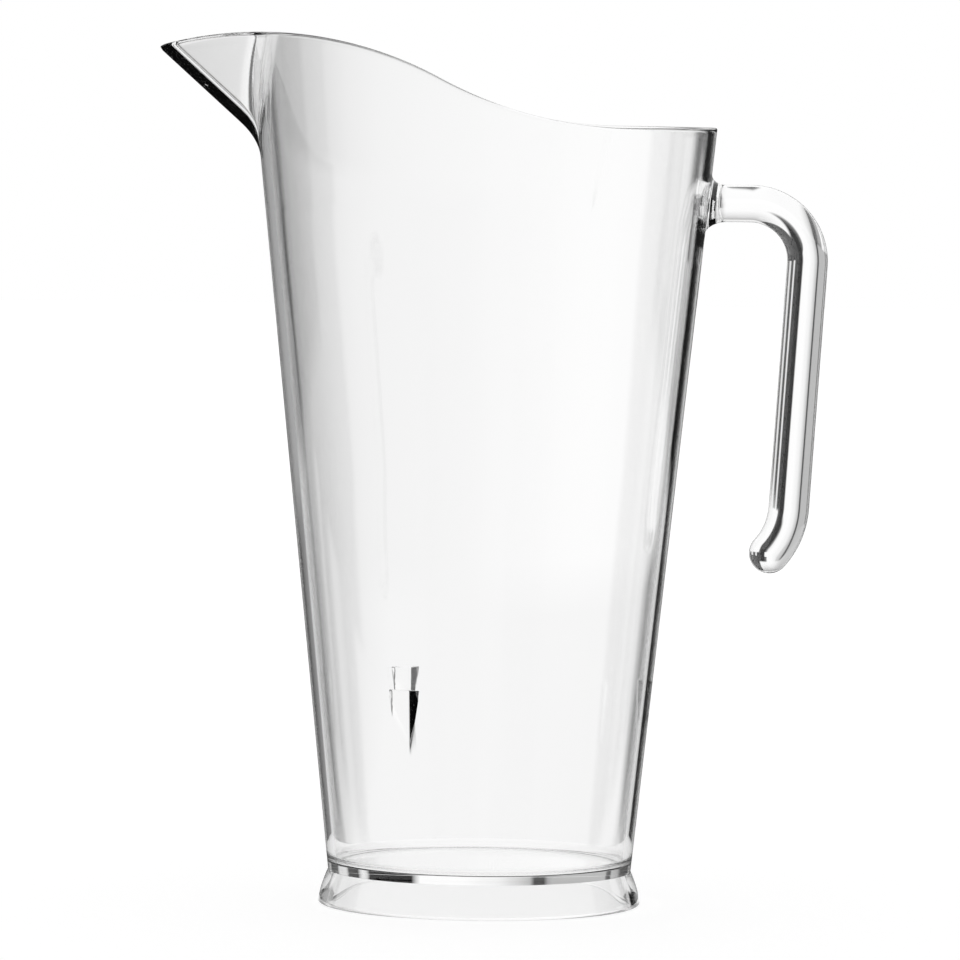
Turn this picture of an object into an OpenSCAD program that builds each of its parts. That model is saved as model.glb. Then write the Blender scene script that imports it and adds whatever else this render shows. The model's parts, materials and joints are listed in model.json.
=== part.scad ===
// Clear beer pitcher: tapered vessel, swept rim, beak spout, open hook handle and flared foot.
// Millimetres, +Z up, foot standing on Z = 0. The spout points along -X and the handle along +X.
// The origin is the middle of the plan box, so the vessel axis stands a little towards the spout.

/* [View] */

/* [Vessel] */

// Outside radius of the wall at the level part of the rim
rim_r = 71.1; // [50:0.1:100]
// Height of the level part of the rim, on the handle side
rim_h = 241.4; // [160:0.2:320]
// Outside radius at the waist, where the wall meets the foot
waist_r = 47; // [30:0.1:70]
// Height of the waist, which is also the underside of the floor
waist_h = 10.4; // [5:0.1:25]
// Wall thickness, measured square to the wall
wall = 2.6; // [1.5:0.1:5]
// Thickness of the flat floor
floor_t = 2.6; // [1.5:0.1:6]
// Radius of the rounded corner inside, between floor and wall
corner_r = 3; // [1:0.1:10]

/* [Rim sweep] */

// Height of the highest point of the rim above its level part
crest_rise = 28; // [5:0.1:60]
// How far that highest point lies behind the tip of the spout
crest_back = 31.2; // [10:0.1:80]
// Radius of the rounded crest over the spout
crest_r = 117; // [60:1:250]
// Radius of the hollow sweep from the crest down to the level rim
dip_r = 122; // [60:1:250]

/* [Spout] */

// Level distance from the wall at the throat to the tip of the beak
beak_len = 30.7; // [10:0.1:60]
// How far under the crest the ridge of the beak leaves the wall
throat_drop = 33; // [15:0.1:80]
// Full angle between the two flat sides of the beak, square to its ridge
beak_angle = 91; // [50:1:140]
// Outside rounding along the ridge
ridge_r = 1.6; // [0.8:0.1:6]
// Inside rounding along the bottom of the channel
channel_r = 4; // [1:0.1:12]
// Height of the small blunt face at the tip
tip_t = 1.1; // [0.4:0.1:5]

/* [Handle] */

// How far the centre of the upper arm lies under the level rim
arm_drop = 23.3; // [10:0.1:120]
// Rod diameter where it leaves the boss
root_d = 11.5; // [6:0.1:20]
// Rod diameter in the grip
grip_d = 12.6; // [6:0.1:24]
// Length of the straight arm between the boss and the upper bend
arm_len = 6.1; // [1:0.1:40]
// Centre line radius of the upper bend
bend_r = 17.7; // [10:0.1:40]
// Length of the straight part of the grip
grip_len = 75.5; // [40:0.5:140]
// Lean of the grip towards the vessel, in degrees
grip_lean = 3.6; // [0:0.1:12]
// Centre line radius of the lower bend
hook_r = 23.5; // [10:0.1:60]
// How far the lower bend turns inward, in degrees
hook_turn = 38; // [10:1:80]
// Radius of the hollow flare where the boss meets the wall
flare_r = 6.5; // [2:0.1:15]
// How far round that hollow runs, in degrees
flare_turn = 60; // [30:1:80]
// Length of plain rod that belongs to the boss
boss_rod = 1.5; // [0.5:0.1:6]

/* [Foot] */

// How far the foot flares out beyond the waist
foot_flare = 3; // [0.5:0.1:10]
// Thickness of the foot skirt
skirt_t = 2.8; // [1.5:0.1:6]
// Rounding of both lower edges of the skirt
edge_r = 0.8; // [0.3:0.1:1.2]

/* [Stacking lugs] */

// Width of the inner face of each lug
lug_w = 4.8; // [2:0.1:12]
// How far the sides of a lug lean outwards on their way to the wall, in degrees
lug_flank = 55; // [0:1:60]
// How far the two side lugs are turned to face the plane of the handle, in degrees
lug_twist = 12; // [0:1:20]
// How far the middle of each ledge stands in from the wall
lug_in = 1.6; // [1:0.1:5]
// Room between the foot of the next pitcher and this wall, at the ledges
stack_gap = 0.6; // [0.2:0.1:3]

/* [Hidden] */

$fn = 200;
far = 400;

// Wall cone: radius gained for each millimetre of height, its lean, and the wall measured level
taper = (rim_r - waist_r) / (rim_h - waist_h);
lean = atan(taper);
wall_x = wall / cos(lean);
function out_r(z) = waist_r + (z - waist_h) * taper;
function in_r(z) = out_r(z) - wall_x;
function height_at_in_r(r) = waist_h + (r + wall_x - waist_r) / taper;
crest_h = rim_h + crest_rise;
blank_h = crest_h + wall;

// Floor dish: its top, and the flat joint where the wall stands on it
floor_top = waist_h + floor_t;
joint_z = floor_top + corner_r;
corner_x = in_r(joint_z) - corner_r / cos(lean);

// Beak: its ridge runs from the wall at throat_h to the blunt tip under the rim
throat_h = crest_h - throat_drop;
throat_x = out_r(throat_h);
spout_reach = throat_x + beak_len;
crest_x = spout_reach - crest_back;
tip_z = crest_h - crest_r + sqrt(crest_r * crest_r - crest_back * crest_back) - tip_t;
ridge_angle = atan2(tip_z - throat_h, beak_len);
ridge_len = norm([tip_z - throat_h, beak_len]);
half_vee = beak_angle / 2;
ridge_t = wall / sin(half_vee) + (channel_r - ridge_r) * (1 / sin(half_vee) - 1);
vee_back = throat_drop / 2;
vee_len = vee_back + ridge_len + throat_drop;
vee_deep = throat_drop * 1.4;

// Rim sweep: the circles of the two arcs run a hair into each other and into the level rim
lap = 0.05;
arcs = crest_r + dip_r - lap;
dip_x = sqrt(arcs * arcs - pow(arcs - crest_rise, 2)) - crest_x;
meet_x = (dip_x + crest_x) * crest_r / arcs - crest_x;

// Handle: rod radii, the stations of the boss along the arm, and the centre of the upper bend
root_r = root_d / 2;
grip_r = grip_d / 2;
arm_h = rim_h - arm_drop;
flare_end = out_r(arm_h);
flare_start = flare_end + flare_r * sin(flare_turn);
flare_wide = root_r + flare_r * (1 - cos(flare_turn));
flare_sunk = flare_r / 2;
boss_end = flare_start + boss_rod;
bend_x = boss_end + arm_len;
bend_z = arm_h - bend_r;
handle_reach = bend_x + bend_r + grip_r;

// Where the vessel axis stands, so that the plan box is centred on the origin
axis_x = (spout_reach - handle_reach) / 2;

// Foot skirt: the two rounded lower edges and the tangent from the waist to the outer one
foot_r = waist_r + foot_flare;
skirt_c = [foot_r - edge_r, edge_r];
skirt_in = [foot_r - skirt_t + edge_r, edge_r];
drop = [skirt_c[0] - waist_r, skirt_c[1] - waist_h];
flare_dir = atan2(drop[1], drop[0]) + asin(edge_r / norm(drop));

// Lugs: the ledge is at the height where the inside of the wall clears the foot of the next pitcher
ledge_r = foot_r + stack_gap;
ledge_z = height_at_in_r(ledge_r);
lug_face = ledge_r - lug_in;
lug_low = height_at_in_r(lug_face - lug_w / 2 * sin(lug_twist)) - lug_in;
lug_deep = lug_in * 3;
lug_root = lug_w / 2 + lug_deep * tan(lug_flank);

// Solid cone that fills the vessel out to the given offset inside its outer face
module cone(inset, z0, z1) {
    translate([0, 0, z0])
    cylinder(h = z1 - z0, r1 = out_r(z0) - inset, r2 = out_r(z1) - inset);
}

// Everything under the swept rim, as a prism along Y
module under_rim() {
    rotate([90, 0, 0])
    translate([0, 0, -far / 2])
    linear_extrude(far)
    difference() {
        union() {
            translate([-far / 2, 0])
            square([far, rim_h]);
            translate([-crest_x, crest_h - crest_r])
            circle(crest_r);
            translate([meet_x, 0])
            square([dip_x - meet_x, crest_h]);
        }
        translate([dip_x, rim_h + dip_r - lap])
        circle(dip_r);
    }
}

// Points along an arc, for the small roundings of the profiles
function turn_to(a) = [cos(a), sin(a)];
function arc(centre, r, from, to, steps = 8) =
    [for (i = [0:steps]) centre + r * turn_to(from + (to - from) * i / steps)];

// Vee trough with a rounded bottom, running up along the ridge of the beak
module vee(bottom_r, lift) {
    low = bottom_r - bottom_r * sin(half_vee);
    wide = bottom_r * cos(half_vee) + (vee_deep - low) * tan(half_vee);
    translate([-throat_x, 0, throat_h])
    rotate([0, ridge_angle - 90, 0])
    translate([lift, 0, -vee_back])
    linear_extrude(vee_len)
    polygon(concat(
        [[vee_deep, wide]],
        arc([bottom_r, 0], bottom_r, 90 + half_vee, 270 - half_vee),
        [[vee_deep, -wide]]
    ));
}

// One lug standing on the inside of the wall at the given turn round the axis, twisted about its own middle
module lug(turn, twist) {
    rotate([0, 0, turn])
    intersection() {
        cone(wall_x, lug_low, ledge_z);
        translate([lug_face, 0, lug_low])
        rotate([0, 0, twist])
        linear_extrude(ledge_z - lug_low)
        polygon([[0, -lug_w / 2], [lug_deep, -lug_root], [lug_deep, lug_root], [0, lug_w / 2]]);
    }
}

module on_axis() {
    translate([axis_x, 0, 0])
    children();
}

module vessel_wall() {
    on_axis()
    color([0.86, 0.88, 0.89, 0.35])
    difference() {
        intersection() {
            difference() {
                cone(0, joint_z, blank_h);
                cone(wall_x, joint_z - 1, blank_h + 1);
            }
            under_rim();
        }
        vee(channel_r, ridge_t);
    }
}

module pouring_spout() {
    on_axis()
    color([0.80, 0.83, 0.85, 0.35])
    difference() {
        intersection() {
            difference() {
                vee(ridge_r, 0);
                vee(channel_r, ridge_t);
            }
            under_rim();
            translate([-spout_reach, -far / 2, 0])
            cube([far, far, far]);
        }
        cone(0, throat_h - throat_drop, crest_h + throat_drop);
    }
}

module vessel_floor() {
    on_axis()
    color([0.83, 0.86, 0.87, 0.35])
    rotate_extrude()
    difference() {
        polygon([[0, waist_h], [waist_r, waist_h], [out_r(joint_z), joint_z], [0, joint_z]]);
        translate([0, floor_top])
        square([corner_x, corner_r + 1]);
        translate([corner_x, joint_z])
        circle(corner_r);
        polygon([
            [0, joint_z - corner_r * sin(lean)],
            [corner_x + corner_r * cos(lean), joint_z - corner_r * sin(lean)],
            [in_r(joint_z + 1), joint_z + 1],
            [0, joint_z + 1]
        ]);
    }
}

module foot_ring() {
    on_axis()
    color([0.78, 0.81, 0.83, 0.35])
    rotate_extrude()
    polygon(concat(
        [[waist_r, waist_h]],
        arc(skirt_c, edge_r, flare_dir + 90, -90),
        arc(skirt_in, edge_r, 270, flare_dir + 270),
        [[waist_r - skirt_t, waist_h]]
    ));
}

module handle_boss() {
    on_axis()
    color([0.80, 0.83, 0.85, 0.35])
    difference() {
        translate([0, 0, arm_h])
        rotate([0, 90, 0])
        rotate_extrude()
        difference() {
            polygon([
                [0, boss_end],
                [root_r, boss_end],
                [root_r, flare_start],
                [flare_wide, flare_end],
                [flare_wide + flare_sunk * tan(flare_turn), flare_end - flare_sunk],
                [0, flare_end - flare_sunk]
            ]);
            translate([root_r + flare_r, flare_start])
            circle(flare_r);
        }
        cone(0, joint_z, blank_h);
    }
}

module handle_grip() {
    $fn = 72;
    on_axis()
    color([0.80, 0.83, 0.85, 0.35]) {
        translate([boss_end, 0, arm_h])
        rotate([0, 90, 0])
        cylinder(h = bend_x - boss_end + lap, r1 = root_r, r2 = grip_r - lap);
        translate([bend_x, 0, bend_z])
        rotate([0, grip_lean, 0]) {
            rotate([90, 0, 0])
            rotate_extrude(angle = 90 + grip_lean)
            translate([bend_r, 0])
            circle(grip_r);
            translate([bend_r, 0, -grip_len])
            cylinder(h = grip_len, r = grip_r);
            translate([bend_r - hook_r, 0, -grip_len])
            hook();
        }
    }
}

// Lower bend and domed end, drawn as if the grip above them stood upright
module hook() {
    rotate([-90, 0, 0])
    rotate_extrude(angle = hook_turn)
    translate([hook_r, 0])
    circle(grip_r);
    rotate([0, hook_turn, 0])
    translate([hook_r, 0, 0])
    sphere(grip_r - lap);
}

module stacking_lug_rear() {
    on_axis()
    color([0.74, 0.77, 0.79, 0.35])
    lug(0, 0);
}

module stacking_lug_left() {
    on_axis()
    color([0.74, 0.77, 0.79, 0.35])
    lug(240, lug_twist);
}

module stacking_lug_right() {
    on_axis()
    color([0.74, 0.77, 0.79, 0.35])
    lug(120, -lug_twist);
}

vessel_wall();
pouring_spout();
vessel_floor();
foot_ring();
handle_boss();
handle_grip();
stacking_lug_rear();
stacking_lug_left();
stacking_lug_right();
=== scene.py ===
# %% [markdown]
# A clear bar pitcher in Blender.
# The real pitcher is one moulding of polycarbonate: a tapered wall on a flared foot, a beak for pouring and an open
# hook handle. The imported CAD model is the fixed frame, and every piece here is built over one of its nodes.

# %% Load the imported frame
import json
import math

import bmesh
import bpy
from mathutils import Matrix, Vector

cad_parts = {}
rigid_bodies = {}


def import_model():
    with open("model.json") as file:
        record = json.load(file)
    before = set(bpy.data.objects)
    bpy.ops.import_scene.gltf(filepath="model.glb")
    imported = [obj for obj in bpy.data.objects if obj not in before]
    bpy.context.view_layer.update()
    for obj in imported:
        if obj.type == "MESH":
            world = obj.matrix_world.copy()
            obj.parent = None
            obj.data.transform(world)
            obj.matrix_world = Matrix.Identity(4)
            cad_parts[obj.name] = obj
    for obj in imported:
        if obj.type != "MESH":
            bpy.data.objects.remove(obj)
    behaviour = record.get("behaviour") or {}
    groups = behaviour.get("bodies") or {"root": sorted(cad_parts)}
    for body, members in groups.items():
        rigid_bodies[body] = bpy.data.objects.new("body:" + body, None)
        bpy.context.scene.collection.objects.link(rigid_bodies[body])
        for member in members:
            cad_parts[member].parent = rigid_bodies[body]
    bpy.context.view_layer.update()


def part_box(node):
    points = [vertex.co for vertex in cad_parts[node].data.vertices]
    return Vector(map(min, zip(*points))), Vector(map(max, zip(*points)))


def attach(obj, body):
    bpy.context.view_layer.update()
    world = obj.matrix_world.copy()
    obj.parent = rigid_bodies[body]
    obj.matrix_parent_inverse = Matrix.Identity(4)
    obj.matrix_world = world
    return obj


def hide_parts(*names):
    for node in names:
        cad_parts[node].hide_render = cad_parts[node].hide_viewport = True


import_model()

# %% [markdown]
# Sizes come from the frame wherever a node's box gives them, so the pieces land where the CAD says.
# The rest are the few sizes a box can't show, such as the lean of the wall. All of them are in millimetres about the
# vessel's axis, and each piece is moved into the frame in metres when it is finished.

# %% Read the sizes
MM = 0.001


def span(node):
    low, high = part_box(node)
    return low / MM, high / MM


foot_low, foot_high = span("foot_ring")
floor_low, floor_high = span("vessel_floor")
_, wall_high = span("vessel_wall")
spout_low, _ = span("pouring_spout")
_, boss_high = span("handle_boss")
grip_low, grip_high = span("handle_grip")
lug_low, lug_high = span("stacking_lug_rear")

axis_x = (foot_low.x + foot_high.x) / 2
foot_r = (foot_high.x - foot_low.x) / 2
waist_h = foot_high.z
joint_z = floor_high.z
joint_r = (floor_high.x - floor_low.x) / 2
crest_h = wall_high.z
print(f"axis at X {axis_x:.2f} mm, foot radius {foot_r:.2f}, waist at {waist_h:.1f}, crest at {crest_h:.1f}")

# %% [markdown]
# The wall is a plain cone, the easiest shape to draw out of a mould, and everything else hangs on it.
# Its radius at any height is a straight line between the joint over the floor and the level part of the rim.

# %% The cone of the wall
rim_r = 71.1
rim_h = 241.4
wall = 2.6

taper = (rim_r - joint_r) / (rim_h - joint_z)
lean = math.atan(taper)
wall_x = wall / math.cos(lean)


def out_r(z):
    return joint_r + (z - joint_z) * taper


def in_r(z):
    return out_r(z) - wall_x


def steps(a, b, count):
    return [a + (b - a) * i / count for i in range(count + 1)]


def arc(centre, r, start, end, count):
    return [
        (centre[0] + r * math.cos(math.radians(a)), centre[1] + r * math.sin(math.radians(a)))
        for a in steps(start, end, count)
    ]


waist_r = out_r(waist_h)
print(f"lean {math.degrees(lean):.2f} degrees, waist radius {waist_r:.2f} mm")

# %% [markdown]
# Round pieces are spun: a profile is drawn on one side of the axis and swept once round it, as on a lathe.
# Foot, floor and wall use the same number of steps, so the rings where they meet have the very same corners, and the
# clear plastic shows no step from one to the next.

# %% Spinning a profile
turn_steps = 512
tiny = 1e-4
level_gap = 1e-3


def turned(points, closed=True):
    bm = bmesh.new()
    ring = [bm.verts.new((r, 0, z)) for r, z in points]
    for a, b in zip(ring, ring[1:] + ring[:1] if closed else ring[1:]):
        bm.edges.new((a, b))
    bmesh.ops.spin(
        bm, geom=bm.verts[:] + bm.edges[:], cent=(0, 0, 0), axis=(0, 0, 1), dvec=(0, 0, 0),
        angle=math.tau, steps=turn_steps, use_merge=True,
    )
    bmesh.ops.remove_doubles(bm, verts=bm.verts, dist=tiny)
    bmesh.ops.recalc_face_normals(bm, faces=bm.faces)
    return bm


print(f"profiles are spun in {turn_steps} steps")

# %% [markdown]
# Materials are built from nodes, so two small helpers come first.
# One turns a colour code as seen on a screen into the linear values that a shader works with. The other adds a node,
# sets its values and makes its links.

# %% Colours and a node helper
def linear(code):
    parts = [int(code[i:i + 2], 16) / 255 for i in (1, 3, 5)]
    return [c / 12.92 if c <= 0.04045 else ((c + 0.055) / 1.055) ** 2.4 for c in parts] + [1]


def add(tree, kind, values=None, links=None, **settings):
    node = tree.nodes.new(kind)
    for name, value in settings.items():
        setattr(node, name, value)
    for name, value in (values or {}).items():
        node.inputs[name].default_value = value
    for name, source in (links or {}).items():
        tree.links.new(source, node.inputs[name])
    return node


def new_material(name):
    made = bpy.data.materials.new(name)
    made.use_nodes = True
    made.node_tree.nodes.clear()
    return made, made.node_tree


print("middle grey as a linear value:", round(linear("#808080")[0], 3))

# %% [markdown]
# One material covers the object: clear polycarbonate, injection moulded in polished steel.
# It bends light a little more than glass does, with an index of 1.585, and its gloss is broken only by faint smudges
# and fine rubbed marks from washing. Both are too faint to see as colour, so they work on roughness. A very low
# ripple, as plastic has where it flowed in the mould, works on height.

# %% Clear polycarbonate
smudge_size = 38
rub_size = 5
smear_range = 0.15, 0.45
smear_rough = 0.035
ripple_size = 16
ripple_high = 0.006
bending = 1.585


def per_metre(size):
    return 1 / (size * MM)


polycarbonate, tree = new_material("clear_polycarbonate_moulded")
place = add(tree, "ShaderNodeTexCoord")
smudge = add(
    tree, "ShaderNodeTexNoise", {"Scale": per_metre(smudge_size), "Detail": 3, "Roughness": 0.55},
    {"Vector": place.outputs["Object"]},
)
rubbed = add(
    tree, "ShaderNodeTexNoise", {"Scale": per_metre(rub_size), "Detail": 2, "Roughness": 0.6},
    {"Vector": place.outputs["Object"]},
)
smear = add(
    tree, "ShaderNodeMath", links={0: smudge.outputs["Fac"], 1: rubbed.outputs["Fac"]}, operation="MULTIPLY",
)
gloss = add(
    tree, "ShaderNodeMapRange",
    {"From Min": smear_range[0], "From Max": smear_range[1], "To Min": 0.0, "To Max": smear_rough},
    {"Value": smear.outputs[0]},
)
ripple = add(
    tree, "ShaderNodeTexNoise", {"Scale": per_metre(ripple_size), "Detail": 1, "Roughness": 0.4},
    {"Vector": place.outputs["Object"]},
)
flow = add(
    tree, "ShaderNodeBump", {"Strength": 1, "Distance": ripple_high * MM}, {"Height": ripple.outputs["Fac"]},
)
clear = add(
    tree, "ShaderNodeBsdfPrincipled",
    {"Base Color": linear("#FFFFFF"), "IOR": bending, "Transmission Weight": 1.0},
    {"Roughness": gloss.outputs["Result"], "Normal": flow.outputs["Normal"]},
)
add(tree, "ShaderNodeOutputMaterial", links={"Surface": clear.outputs["BSDF"]})
print("material:", polycarbonate.name)

# %% [markdown]
# Inside the moulding there is no surface between foot, floor, wall and handle.
# The pieces are closed solids all the same, so the faces where they touch get a wholly see-through material. Light
# then passes from piece to piece as it does in one body of plastic.

# %% The see-through weld
weld, tree = new_material("polycarbonate_weld")
hidden = add(tree, "ShaderNodeBsdfPrincipled", {"Base Color": linear("#FFFFFF"), "Alpha": 0.0})
add(tree, "ShaderNodeOutputMaterial", links={"Surface": hidden.outputs["BSDF"]})
SKIN, WELD = 0, 1
crease = math.radians(28)


def weld_level(bm, height, inner=0.0):
    for face in bm.faces:
        if all(abs(v.co.z - height) < level_gap and v.co.xy.length > inner - level_gap for v in face.verts):
            face.material_index = WELD


def finish_piece(bm, name, node):
    bmesh.ops.transform(bm, matrix=Matrix.Translation((axis_x * MM, 0, 0)) @ Matrix.Scale(MM, 4), verts=bm.verts)
    for face in bm.faces:
        face.smooth = face.material_index == SKIN
    for edge in bm.edges:
        mixed = len({f.material_index for f in edge.link_faces}) > 1
        edge.smooth = not mixed and edge.calc_face_angle(0) < crease
    open_edges = sum(not e.is_manifold for e in bm.edges)
    mesh = bpy.data.meshes.new(name)
    bm.to_mesh(mesh)
    bm.free()
    mesh.materials.append(polycarbonate)
    mesh.materials.append(weld)
    piece = bpy.data.objects.new(name, mesh)
    bpy.context.scene.collection.objects.link(piece)
    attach(piece, "root")
    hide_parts(node)
    print(f"{name}: {len(mesh.polygons)} faces, {open_edges} open edges")
    return piece


print("material:", weld.name)

# %% [markdown]
# The foot is a hollow skirt that flares out from the waist and stands on its rounded lower edge.
# Its outside is very slightly bellied, steeper at the table than at the waist, so it is drawn with a shallow bulge.

# %% Foot ring
skirt_t = 2.8
edge_r = 0.8
belly = 0.35


def skirt(x0, x1, z0, z1, bulge, count):
    return [
        (x0 + (x1 - x0) * t + bulge * math.sin(math.pi * t), z0 + (z1 - z0) * t) for t in steps(0, 1, count)
    ]


outside = skirt(waist_r, foot_r, waist_h, edge_r, belly, 10)[:-1]
inside = skirt(foot_r - skirt_t, waist_r - skirt_t, edge_r, waist_h, belly / 2, 10)[1:]
lower_edge = arc((foot_r - edge_r, edge_r), edge_r, 0, -90, 6)
inner_edge = arc((foot_r - skirt_t + edge_r, edge_r), edge_r, -90, -180, 6)
foot = turned(outside + lower_edge + inner_edge + inside)
weld_level(foot, waist_h)
finish_piece(foot, "foot_ring_clear", "foot_ring")

# %% [markdown]
# The floor is a flat disc that turns up into the wall with a rounded inside corner.
# The corner is where the last of the drink gathers the light, so it is a true arc and not a bevel.

# %% Vessel floor
floor_t = 2.6
corner_r = 3.0
floor_top = waist_h + floor_t
corner_x = in_r(joint_z) - corner_r / math.cos(lean)
corner = arc((corner_x, joint_z), corner_r, -90, -math.degrees(lean), 14)
floor_rings = 0.3, 0.6, 0.85, 0.97
under_ring = 0.6
dish = [(0, floor_top)] + [(corner_x * t, floor_top) for t in floor_rings] + corner + [
    (in_r(joint_z), joint_z), (out_r(joint_z), joint_z), (waist_r, waist_h),
    (waist_r - skirt_t, waist_h), (corner_x * under_ring, waist_h), (0, waist_h),
]
floor = turned(dish, closed=False)
weld_level(floor, joint_z)
weld_level(floor, waist_h, waist_r - skirt_t)
finish_piece(floor, "vessel_floor_clear", "vessel_floor")

# %% [markdown]
# The rim sweeps from a level stretch over the handle up to a crest over the beak, in two arcs that meet smoothly.
# Seen from the side the edge is this one line, so its height depends only on how far a point lies towards the spout.

# %% The swept rim
reach = axis_x - spout_low.x
crest_back = 31.2
crest_r = 117.0
dip_r = 122.0
crest_u = reach - crest_back
both = crest_r + dip_r
dip_u = crest_u - math.sqrt(both ** 2 - (both - (crest_h - rim_h)) ** 2)
meet_u = crest_u + (dip_u - crest_u) * crest_r / both


def sweep(u):
    if u > meet_u:
        return crest_h - crest_r + math.sqrt(crest_r ** 2 - (u - crest_u) ** 2)
    if u > dip_u:
        return rim_h + dip_r - math.sqrt(dip_r ** 2 - (u - dip_u) ** 2)
    return rim_h


print(f"crest {crest_u:.1f} mm towards the spout, arcs meet at {meet_u:.1f}, level from {dip_u:.1f}")

# %% [markdown]
# The beak is two flat sides that meet in a ridge. Each side leaves the cone along a soft crease.
# A boolean of two wedges would give hard seams, so the wall is spun as a plain cone first and its corners are then
# pressed outwards: at each height the skin is the farther of cone and beak, with a soft change from one to the other.

# %% The beak
throat_drop = 33.0
beak_len = 30.7
half_vee = math.radians(45.5)
tip_t = 1.1
ridge_round = 1.12
channel_round = 2.8
throat_blend = 5.5
side_blend = 2.6
tip_blend = 0.6
rim_rounds = 60

throat_h = crest_h - throat_drop
throat_u = reach - beak_len
ridge = math.atan2(sweep(reach) - tip_t - throat_h, beak_len)
spread = math.tan(half_vee) * math.sin(ridge)
beak_wall = wall / (math.sin(half_vee) * math.sin(ridge))
beak_turn = math.radians(50)


def rounded(y, half):
    return abs(y) if abs(y) > half else (y * y + half * half) / (2 * half)


def soft_max(a, b, k):
    return max(a, b) + max(k - abs(a - b), 0) ** 2 / (4 * k)


def skin_r(turn, z, inside):
    cone = in_r(z) if inside else out_r(z)
    if abs(turn) > beak_turn:
        return cone
    across, along = abs(math.sin(turn)), math.cos(turn)
    half = channel_round if inside else ridge_round
    apex = throat_u + (z - throat_h) / math.tan(ridge) + ridge_round / 2 / spread - (beak_wall if inside else 0)
    y = apex / (along + across / spread) * across
    beak = (apex - rounded(y, half) / spread) / along
    if not inside:
        beak = -soft_max(-beak, -reach / along, tip_blend)
    rise = min(max((z - throat_h) / throat_drop, 0), 1)
    return soft_max(cone, beak, throat_blend + (side_blend - throat_blend) * rise)


def rim_top(turn, inside):
    z = rim_h
    for _ in range(rim_rounds):
        z = sweep(skin_r(turn, z, inside) * math.cos(turn))
    return z


print(f"ridge at {math.degrees(ridge):.1f} degrees, tip top at {rim_top(0, False):.1f} mm")

# %% [markdown]
# The blank of the wall is a cone with a level rim whose edges are rounded.
# Pressing it does three things to each corner: it crowds the columns towards the spout, where the ridge needs them,
# stretches the heights so that the rim follows its sweep, and pulls the skin out into the beak.

# %% The wall blank and its press
lip_r = 0.7
press_z = 215.0
crowd_z = 120.0
crowd = 0.65

outer_rows = steps(joint_z, press_z, 12) + steps(press_z, rim_h - lip_r, 46)[1:]
quarter = [math.radians(a) for a in steps(0, 90, 6)[1:]]
lip = [(lip_r * (1 - math.cos(a)), rim_h - lip_r * (1 - math.sin(a))) for a in quarter]
blank = [(out_r(z), z) for z in outer_rows]
blank += [(out_r(z) - across, z) for across, z in lip]
blank += [(out_r(rim_h) - wall_x / 2, rim_h)]
blank += [(in_r(z) + across, z) for across, z in reversed(lip)]
blank += [(in_r(z), z) for z in reversed(outer_rows)]
shell = turned(blank)
tops = {}


def pressed(co):
    r, turn = co.xy.length, math.atan2(co.y, -co.x)
    part = (out_r(co.z) - r) / wall_x
    share = min(max((co.z - crowd_z) / (press_z - crowd_z), 0), 1)
    share = share * share * (3 - 2 * share)
    turn -= share * crowd * math.sin(turn)
    z = co.z
    if z > press_z + tiny:
        key = round(turn, 6)
        if key not in tops:
            tops[key] = rim_top(turn, False), rim_top(turn, True)
        top = tops[key][0] + (tops[key][1] - tops[key][0]) * part
        under = rim_h - z
        if under > lip_r:
            under = lip_r + (under - lip_r) * (top - lip_r - press_z) / (rim_h - lip_r - press_z)
        z = top - under
    outer, inner = skin_r(turn, z, False), skin_r(turn, z, True)
    r = outer + (inner - outer) * part
    return Vector((-r * math.cos(turn), r * math.sin(turn), z))


for vert in shell.verts:
    vert.co = pressed(vert.co)
bmesh.ops.recalc_face_normals(shell, faces=shell.faces)
weld_level(shell, joint_z)
print(f"wall blank: {len(shell.faces)} faces, highest {max(v.co.z for v in shell.verts):.1f} mm")

# %% [markdown]
# Three lugs stand on the inside of the wall. Their flat tops carry the foot of the next pitcher in a stack.
# Each is a wedge: upright in front, so that it slips off the mould, with sides that lean out, and it runs out into
# the leaning wall below. The two side lugs are turned a little to face the plane of the handle. Only the edges that
# show are rounded, because the thin buried foot of the wedge has no room for it.

# %% Stacking lugs
lug_face = lug_low.x - axis_x
ledge_z = lug_high.z
lug_w = 5.4
lug_flank = math.radians(56)
lug_edge = 0.3
lug_sunk = 0.8
lug_tail = 0.7
lug_out = in_r(ledge_z) - lug_face
lug_foot = ledge_z - (lug_out + lug_tail) / taper
lug_turns = {"rear": (0, 0), "right": (120, -12), "left": (240, 12)}


def lug_wedge(turn, twist):
    bm = bmesh.new()
    bmesh.ops.create_cube(bm, size=2)
    for vert in bm.verts:
        above = vert.co.z > 0
        deep = (lug_out + lug_sunk if above else lug_tail) * (vert.co.x > 0)
        half = lug_w / 2 + deep * math.tan(lug_flank)
        vert.co = (deep, vert.co.y * half, ledge_z if above else lug_foot)
    buried = [e for e in bm.edges if all(v.co.x > 0 for v in e.verts) or all(v.co.z < ledge_z for v in e.verts)]
    bmesh.ops.bevel(
        bm, geom=[e for e in bm.edges if e not in buried], offset=lug_edge, offset_type="OFFSET", affect="EDGES",
        segments=4, profile=0.5, material=-1,
    )
    stand = Matrix.Rotation(math.radians(turn), 4, "Z") @ Matrix.Translation((lug_face, 0, 0))
    bmesh.ops.transform(bm, matrix=stand @ Matrix.Rotation(math.radians(twist), 4, "Z"), verts=bm.verts)
    return bm


wedges = {name: lug_wedge(*turns) for name, turns in lug_turns.items()}
print(f"lugs: {lug_w:.1f} mm wide in front, from {lug_foot:.1f} up to the ledge at {ledge_z:.1f} mm")

# %% [markdown]
# The handle is a solid round rod that leaves the wall in a hollow fillet, bends down and ends in a short hook.
# The arm with its fillet is spun about its own axis. The foot of the fillet is then sheared along that axis until it
# follows the round, leaning wall, so that it meets the wall at the same shallow angle all the way round.

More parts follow.
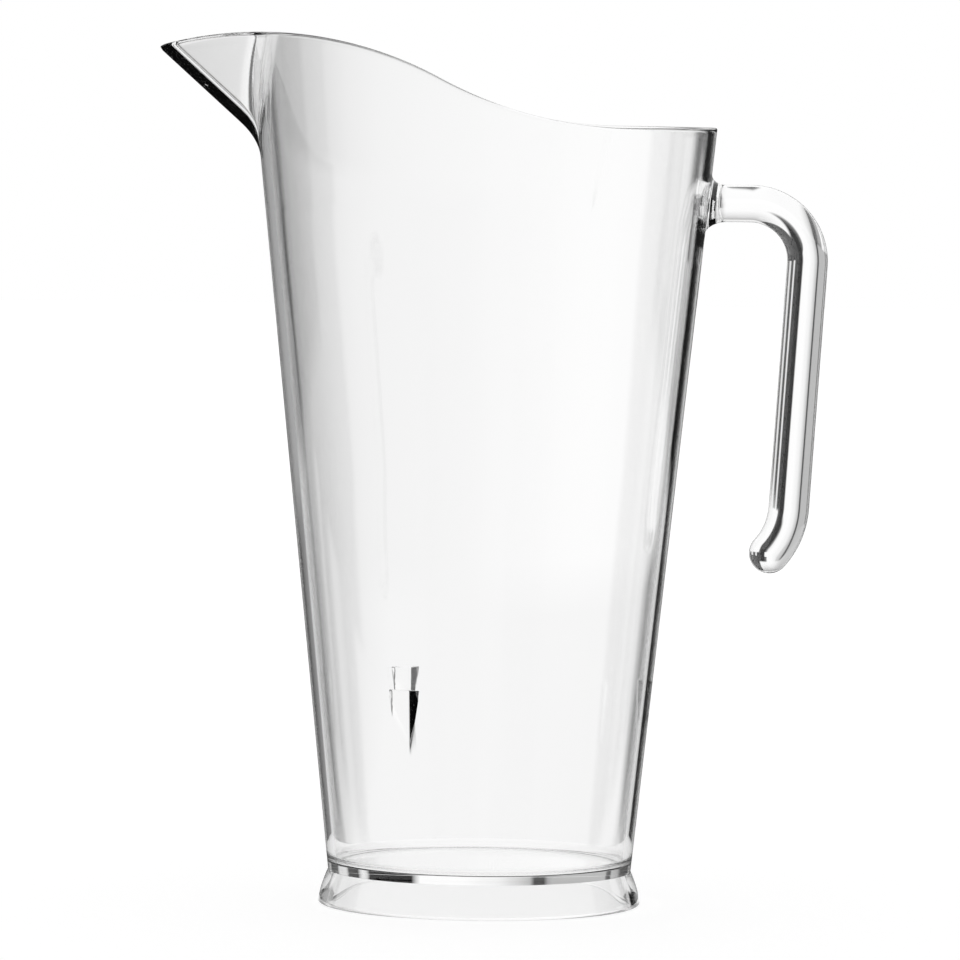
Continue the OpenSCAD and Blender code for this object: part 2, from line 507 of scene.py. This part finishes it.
# %% Handle root and arm
rod_steps = 96
root_r = 5.75
fillet_high = 3.9
fillet_long = 5.63
fillet_dip = 0.1
root_deep = 1.0
grip_r = (grip_high.y - grip_low.y) / 2
arm_h = grip_high.z - grip_r
boss_end = boss_high.x - axis_x
bend_r = 17.7
bend_x = grip_high.x - axis_x - grip_r - bend_r
bend_z = arm_h - bend_r
wall_at_arm = out_r(arm_h)
fillet_top = wall_at_arm + fillet_long

fillet = [
    (fillet_top - (fillet_long + fillet_dip) * math.sin(a), root_r + fillet_high * (1 - math.cos(a)))
    for a in [math.radians(x) for x in steps(90, 0, 24)]
]
root = [(wall_at_arm - root_deep, 0), (wall_at_arm - root_deep, fillet[0][1])] + fillet
root += [(x, root_r) for x in steps(boss_end, bend_x, 4)]
handle = bmesh.new()
line = [handle.verts.new((x, 0, arm_h + r)) for x, r in root]
for a, b in zip(line, line[1:]):
    handle.edges.new((a, b))
bmesh.ops.spin(
    handle, geom=handle.verts[:] + handle.edges[:], cent=(0, 0, arm_h), axis=(1, 0, 0), dvec=(0, 0, 0),
    angle=math.tau, steps=rod_steps, use_merge=True,
)
bmesh.ops.remove_doubles(handle, verts=handle.verts, dist=tiny)
for vert in handle.verts:
    sunk = min(max((fillet_top - vert.co.x) / fillet_long, 0), 1)
    vert.co.x += (math.sqrt(out_r(vert.co.z) ** 2 - vert.co.y ** 2) - wall_at_arm) * sunk ** 2
print(f"arm at {arm_h:.1f} mm, bend centre {bend_x:.1f}, {bend_z:.1f}")

# %% [markdown]
# From the arm on, the open ring at its end is carried along the hook: spun for a bend, extruded for a straight.
# The rounded end is the same ring, extruded in small steps that shrink it on a quarter circle to a pole.

# %% Handle grip
grip_lean = math.radians(3.6)
grip_len = 75.5
hook_r = 23.5
hook_turn = math.radians(38)
bend_steps = 48
grip_steps = 10
hook_steps = 28
dome_steps = 14
dome_end = 88


def open_ring(bm):
    edges = [e for e in bm.edges if e.is_boundary]
    return edges, list({v for e in edges for v in e.verts})


def bend(bm, centre, angle, count):
    edges, verts = open_ring(bm)
    bmesh.ops.spin(
        bm, geom=verts + edges, cent=centre, axis=(0, 1, 0), dvec=(0, 0, 0), angle=angle, steps=count,
    )


def push(bm, along, shrink, centre):
    edges, _ = open_ring(bm)
    made = bmesh.ops.extrude_edge_only(bm, edges=edges)["geom"]
    verts = [v for v in made if isinstance(v, bmesh.types.BMVert)]
    bmesh.ops.scale(bm, vec=(shrink,) * 3, space=Matrix.Translation(-centre), verts=verts)
    bmesh.ops.translate(bm, vec=along, verts=verts)


def heading(angle):
    return Vector((math.cos(angle), 0, -math.sin(angle)))


bend_turn = math.pi / 2 + grip_lean
bend_centre = Vector((bend_x, 0, bend_z))
bend(handle, bend_centre, bend_turn, bend_steps)
for vert in handle.verts:
    if vert.co.x > bend_x + level_gap:
        turned_by = math.atan2(vert.co.x - bend_x, vert.co.z - bend_z)
        middle = bend_centre + heading(turned_by - math.pi / 2) * bend_r
        vert.co = middle + (vert.co - middle) * (1 + (grip_r / root_r - 1) * turned_by / bend_turn)
down = heading(bend_turn)
centre = bend_centre + heading(bend_turn - math.pi / 2) * bend_r
for _ in range(grip_steps):
    push(handle, down * grip_len / grip_steps, 1, centre)
    centre = centre + down * grip_len / grip_steps
hook_centre = centre + heading(bend_turn + math.pi / 2) * hook_r
bend(handle, hook_centre, hook_turn, hook_steps)
end_turn = bend_turn + hook_turn
centre = hook_centre + heading(end_turn - math.pi / 2) * hook_r
dome = [math.radians(a) for a in steps(0, dome_end, dome_steps)]
for a, b in zip(dome, dome[1:]):
    along = heading(end_turn) * grip_r * (math.sin(b) - math.sin(a))
    push(handle, along, math.cos(b) / math.cos(a), centre)
    centre = centre + along
_, last = open_ring(handle)
bmesh.ops.pointmerge(handle, verts=last, merge_co=centre)
bmesh.ops.recalc_face_normals(handle, faces=handle.faces)
print(f"handle: {len(handle.faces)} faces, lowest {min(v.co.z for v in handle.verts):.1f} mm")

# %% [markdown]
# Wall, lugs and handle are one body on the real pitcher, so they are first joined into one with Boolean unions.
# Only then are they cut apart again with planes, so that each piece keeps the true join: the plastic runs on through
# the cut, and both cut ends are closed with a face of the see-through weld.

# %% Join and cut
def as_object(bm, name):
    mesh = bpy.data.meshes.new(name)
    bm.to_mesh(mesh)
    bm.free()
    made = bpy.data.objects.new(name, mesh)
    bpy.context.scene.collection.objects.link(made)
    return made


def joined(body, tools):
    base = as_object(body, "blank_body")
    spare = [as_object(tool, "blank_tool") for tool in tools]
    for tool in spare:
        union = base.modifiers.new("union", "BOOLEAN")
        union.operation, union.solver, union.object = "UNION", "EXACT", tool
    bpy.context.view_layer.update()
    mesh = bpy.data.meshes.new_from_object(base.evaluated_get(bpy.context.evaluated_depsgraph_get()))
    bm = bmesh.new()
    bm.from_mesh(mesh)
    for used in [base] + spare:
        bpy.data.objects.remove(used)
    bmesh.ops.remove_doubles(bm, verts=bm.verts, dist=tiny)
    bmesh.ops.dissolve_degenerate(bm, edges=bm.edges, dist=tiny)
    return bm


def cap(bm):
    rim = [e for e in bm.edges if e.is_boundary]
    for face in bmesh.ops.holes_fill(bm, edges=rim, sides=0)["faces"]:
        face.material_index = WELD


def cut_off(bm, point, normal, near=None):
    faces = [f for f in bm.faces if near is None or near(f.calc_center_median())]
    edges = list({e for f in faces for e in f.edges})
    verts = list({v for f in faces for v in f.verts})
    bmesh.ops.bisect_plane(bm, geom=verts + edges + faces, dist=tiny, plane_co=point, plane_no=normal)
    part = bm.copy()
    for side, keep in ((part, True), (bm, False)):
        middles = [(f, f.calc_center_median()) for f in side.faces]
        gone = [f for f, m in middles if ((m - point).dot(normal) > 0 and (near is None or near(m))) != keep]
        bmesh.ops.delete(side, geom=gone, context="FACES")
        cap(side)
    return part


body = joined(shell, [handle] + list(wedges.values()))
print(f"joined body: {len(body.faces)} faces, {sum(not e.is_manifold for e in body.edges)} open edges")

# %% [markdown]
# The grip comes off square across the arm, where the CAD ends its boss, and the boss along the lean of the wall.
# The beak is cut by an upright plane just outside the rim.

# %% Cut the handle and the spout off
boss_gap = 0.15
spout_cut = 77.0
wall_out = Vector((math.cos(lean), 0, -math.sin(lean)))
grip = cut_off(body, Vector((boss_end, 0, arm_h)), Vector((1, 0, 0)))
boss = cut_off(body, Vector((wall_at_arm, 0, arm_h)) + wall_out * boss_gap, wall_out)
spout = cut_off(body, Vector((-spout_cut, 0, throat_h)), Vector((-1, 0, 0)))
finish_piece(grip, "handle_grip_clear", "handle_grip")
finish_piece(boss, "handle_boss_clear", "handle_boss")
finish_piece(spout, "pouring_spout_clear", "pouring_spout")

# %% [markdown]
# Each lug is cut off by a plane just inside the wall and as steep as the wall.
# The plane would also slice the wall beside the lug, so only the faces near the lug are cut. What is left of the body
# after the last cut is the wall.

# %% Cut the lugs off
lug_gap = 0.5
lug_reach = 7.0
before_face = 1
below_foot = 2
above_ledge = 0.01
behind_skin = 0.4
for name, (turn, _) in lug_turns.items():
    out = Vector((math.cos(math.radians(turn)), math.sin(math.radians(turn)), 0))
    across = Vector((-out.y, out.x, 0))
    plane = out * (in_r(ledge_z) - lug_gap) + Vector((0, 0, ledge_z))
    inward = -(out * math.cos(lean) - Vector((0, 0, math.sin(lean))))

    def near(point):
        return (
            lug_face - before_face < point.dot(out) < in_r(point.z) + behind_skin
            and abs(point.dot(across)) < lug_reach
            and lug_foot - below_foot < point.z < ledge_z + above_ledge
        )

    finish_piece(cut_off(body, plane, inward, near), f"stacking_lug_{name}_clear", f"stacking_lug_{name}")
finish_piece(body, "vessel_wall_clear", "vessel_wall")

# %% [markdown]
# The pitcher stands on a plain white board in an even white studio.
# Most of the board's white is a glow of its own, so that it runs into the white behind it without a line. The rest is
# light that falls on it, so the foot still throws a faint shadow there.

# %% Floor and studio
board_size = 12
board_drop = 0.2
board, tree = new_material("pale_matte_board")
white = add(
    tree, "ShaderNodeBsdfPrincipled",
    {
        "Base Color": linear("#707070"), "Roughness": 0.9,
        "Emission Color": linear("#FFFFFF"), "Emission Strength": 0.86,
    },
)
add(tree, "ShaderNodeOutputMaterial", links={"Surface": white.outputs["BSDF"]})
table = bmesh.new()
bmesh.ops.create_grid(table, x_segments=1, y_segments=1, size=0.5)
bmesh.ops.scale(table, vec=(board_size, board_size, 1), verts=table.verts)
bmesh.ops.translate(table, vec=(0, 0, -board_drop * MM), verts=table.verts)
studio_floor = as_object(table, "studio_floor")
studio_floor.data.materials.append(board)

world = bpy.data.worlds.new("white_studio")
world.use_nodes = True
world.node_tree.nodes["Background"].inputs["Color"].default_value = linear("#FFFFFF")
world.node_tree.nodes["Background"].inputs["Strength"].default_value = 1.0
bpy.context.scene.world = world
print(f"floor board {board_size} m square, {board_drop} mm under the foot")

# %% [markdown]
# Clear plastic shows only what it bends and mirrors, so its dark lines are pictures of dark things round it.
# A tent of light cloth with dark panels is seen only through the plastic, and a dark curtain only as a mirror image
# in it. Each list gives the tone of the cloth by its bearing in degrees, with 0 straight behind the pitcher in the
# main view. A zone says between which heights its list takes over from the one below, and how far that line slants.
# On the table the bearing is taken from the side of the foot, so that a panel stays along the edge of the wall
# however near it lies.

# %% Light tents
tent_r = 1.0
tent_high = 1.5
tent_inner = 0.16
tent_lift = 0.5 * MM
tent_steps = 180
dark_r = 0.35
dark_high = 0.27
dark_lift = MM
dark_inner = foot_r * MM * 1.1
dark_tone = 0.04
on_table = [
    (-180, 1.0), (-32, 1.0), (-30, 0.35), (-20, 0.3), (-18, 0.05), (-11, 0.05), (-9.5, 0.5), (-6, 0.72),
    (-3.5, 0.84), (-2, 0.92), (0, 0.97), (9.5, 1.0), (12.5, 0.2), (15, 0.0), (28, 0.02), (30, 1.0),
]
beside_body = [
    (-180, 1.0), (-78, 0.9), (-75, 0.08), (-60, 0.05), (-57, 0.4), (-50.5, 0.5), (-49.5, 0.06), (-46.5, 0.06),
    (-45.5, 0.5), (-22, 0.5), (-18.5, 0.5), (-17.5, 0.06), (-13.8, 0.06), (-13, 0.5), (-9.5, 0.68), (-6.6, 0.8),
    (-5, 0.9), (-3.4, 0.94), (0, 0.97), (5, 1.05), (17.5, 1.05), (19.5, 0.0), (37, 0.0), (38.3, 0.85),
    (41.8, 0.85), (43, 0.02), (51, 0.02), (52.5, 0.8), (61, 0.8), (63, 0.1), (75, 0.1), (78, 0.95),
]
beside_rim = [
    (-180, 1.0), (-100, 0.95), (-78, 0.9), (-75, 0.08), (-53.5, 0.05), (-52, 0.6), (-24, 0.55), (-18.5, 0.5),
    (-17.5, 0.1), (-13.5, 0.1), (-12.5, 0.5), (-9, 0.62), (-6.5, 0.68), (-5.2, 0.8), (-4, 0.9), (-2.5, 0.95),
    (0, 0.98), (5, 1.05), (13, 1.05), (15, 0.2), (20, 0.0), (83, 0.05), (86, 0.85), (110, 0.95),
]
overhead = [
    (-180, 1.0), (-78, 0.9), (-75, 0.3), (-57, 0.3), (-55, 0.6), (-24, 0.6), (-15, 0.72), (-6, 0.93), (5, 1.05),
    (30, 1.0), (32, 0.02), (83, 0.05), (86, 0.85), (110, 0.95),
]
ceiling = [(-180, 0.9), (-60, 0.45), (30, 0.45), (32, 0.02), (60, 0.05), (90, 0.8)]
zones = [
    (0.015, 0.04, 0, beside_body), (0.2025, 0.2125, 0.0663, beside_rim), (0.36, 0.42, 0, overhead),
    (0.5, 1.4, 0, ceiling),
]

cloth, tree = new_material("tent_cloth_with_dark_panels")
place = add(tree, "ShaderNodeTexCoord")
apart = add(tree, "ShaderNodeSeparateXYZ", links={"Vector": place.outputs["Object"]})
within = add(
    tree, "ShaderNodeClamp", {"Min": -foot_r * MM, "Max": foot_r * MM}, {"Value": apart.outputs["X"]},
)
beside = add(
    tree, "ShaderNodeMath", links={0: apart.outputs["X"], 1: within.outputs[0]}, operation="SUBTRACT",
)


def share_of_turn(x):
    bearing = add(tree, "ShaderNodeMath", links={0: x, 1: apart.outputs["Y"]}, operation="ARCTAN2")
    return add(
        tree, "ShaderNodeMapRange", {"From Min": -math.pi, "From Max": math.pi}, {"Value": bearing.outputs[0]},
    ).outputs["Result"]


from_axis = share_of_turn(apart.outputs["X"])
from_edge = share_of_turn(beside.outputs[0])


def tone_ramp(stops, share):
    node = add(tree, "ShaderNodeValToRGB", links={"Fac": share})
    ramp = node.color_ramp.elements
    while len(ramp) < len(stops):
        ramp.new(1.0)
    for element, (angle, tone) in zip(ramp, stops):
        element.position = (angle + 180) / 360
        element.color = (tone, tone, tone, 1)
    return node


tone = tone_ramp(on_table, from_edge).outputs["Color"]
for start, end, slant, stops in zones:
    level = add(
        tree, "ShaderNodeMath", {1: slant}, {0: apart.outputs["X"], 2: apart.outputs["Z"]}, operation="MULTIPLY_ADD",
    )
    above = add(
        tree, "ShaderNodeMapRange", {"From Min": start, "From Max": end}, {"Value": level.outputs[0]},
    )
    panels = tone_ramp(stops, from_axis).outputs["Color"]
    blend = add(tree, "ShaderNodeMix", links={0: above.outputs["Result"], 6: tone, 7: panels}, data_type="RGBA")
    tone = blend.outputs[2]
glow = add(tree, "ShaderNodeEmission", links={"Color": tone})
add(tree, "ShaderNodeOutputMaterial", links={"Surface": glow.outputs["Emission"]})

velvet, tree = new_material("dark_studio_cloth")
gloom = add(tree, "ShaderNodeEmission", {"Color": linear("#FFFFFF"), "Strength": dark_tone})
add(tree, "ShaderNodeOutputMaterial", links={"Surface": gloom.outputs["Emission"]})


def curtain(name, line, material):
    bm = bmesh.new()
    row = [bm.verts.new((r, 0, z)) for r, z in line]
    for a, b in zip(row, row[1:]):
        bm.edges.new((a, b))
    bmesh.ops.spin(
        bm, geom=bm.verts[:] + bm.edges[:], cent=(0, 0, 0), axis=(0, 0, 1), dvec=(0, 0, 0), angle=math.tau,
        steps=tent_steps, use_merge=True,
    )
    made = as_object(bm, name)
    made.data.materials.append(material)
    material.cycles.emission_sampling = "NONE"
    made.visible_camera = made.visible_diffuse = made.visible_shadow = False
    return made


tent_line = [(tent_inner, tent_lift), (tent_r, tent_lift), (tent_r, tent_high)]
dark_line = [(dark_inner, dark_lift), (dark_r, dark_lift), (dark_r, dark_high)]
curtain("studio_tent", tent_line, cloth).visible_glossy = False
curtain("studio_dark", dark_line, velvet).visible_transmission = False
print(f"tent: {len(zones) + 1} lists of tones, {tent_r:.2f} m round the pitcher")

# %% [markdown]
# The photograph was taken with a long lens from about rim height, so the mouth shows as a thin line.
# The camera is placed by its distance and height, with the same small tilt of the picture.

# %% Camera
picture = 960
mm_per_pixel = 0.31
camera_far = 2.24
camera_h = 255.0
camera_turn = math.radians(-1)
aim_aside = 1.1
aim_h = 131.6
aim = Vector((axis_x - aim_aside, 0, aim_h)) * MM
roll = math.radians(0.64)

seen = bpy.data.cameras.new("camera")
seen.sensor_width = 36
eye = Vector((
    aim.x + camera_far * math.sin(camera_turn), -camera_far * math.cos(camera_turn), camera_h * MM,
))
distance = (eye - aim).length
seen.lens = seen.sensor_width * distance / (picture * mm_per_pixel * MM)
seen.clip_start, seen.clip_end = 0.01, 100
camera = bpy.data.objects.new("camera", seen)
bpy.context.scene.collection.objects.link(camera)
look = (aim - eye).to_track_quat("-Z", "Y").to_matrix().to_4x4()
camera.matrix_world = Matrix.Translation(eye) @ look @ Matrix.Rotation(roll, 4, "Z")
bpy.context.scene.camera = camera
bpy.context.scene.view_settings.view_transform = "Standard"
print(f"lens {seen.lens:.0f} mm")

# %% [markdown]
# A line of sight crosses up to a dozen skins of the jug, and is thrown to and fro inside the floor and the foot.
# With too few bounces those paths end in black, so more are allowed than is usual.

# %% Light paths
cycles = bpy.context.scene.cycles
cycles.max_bounces = 32
cycles.transmission_bounces = 32
cycles.glossy_bounces = 16
cycles.transparent_max_bounces = 16
print(f"light paths: up to {cycles.max_bounces} bounces")
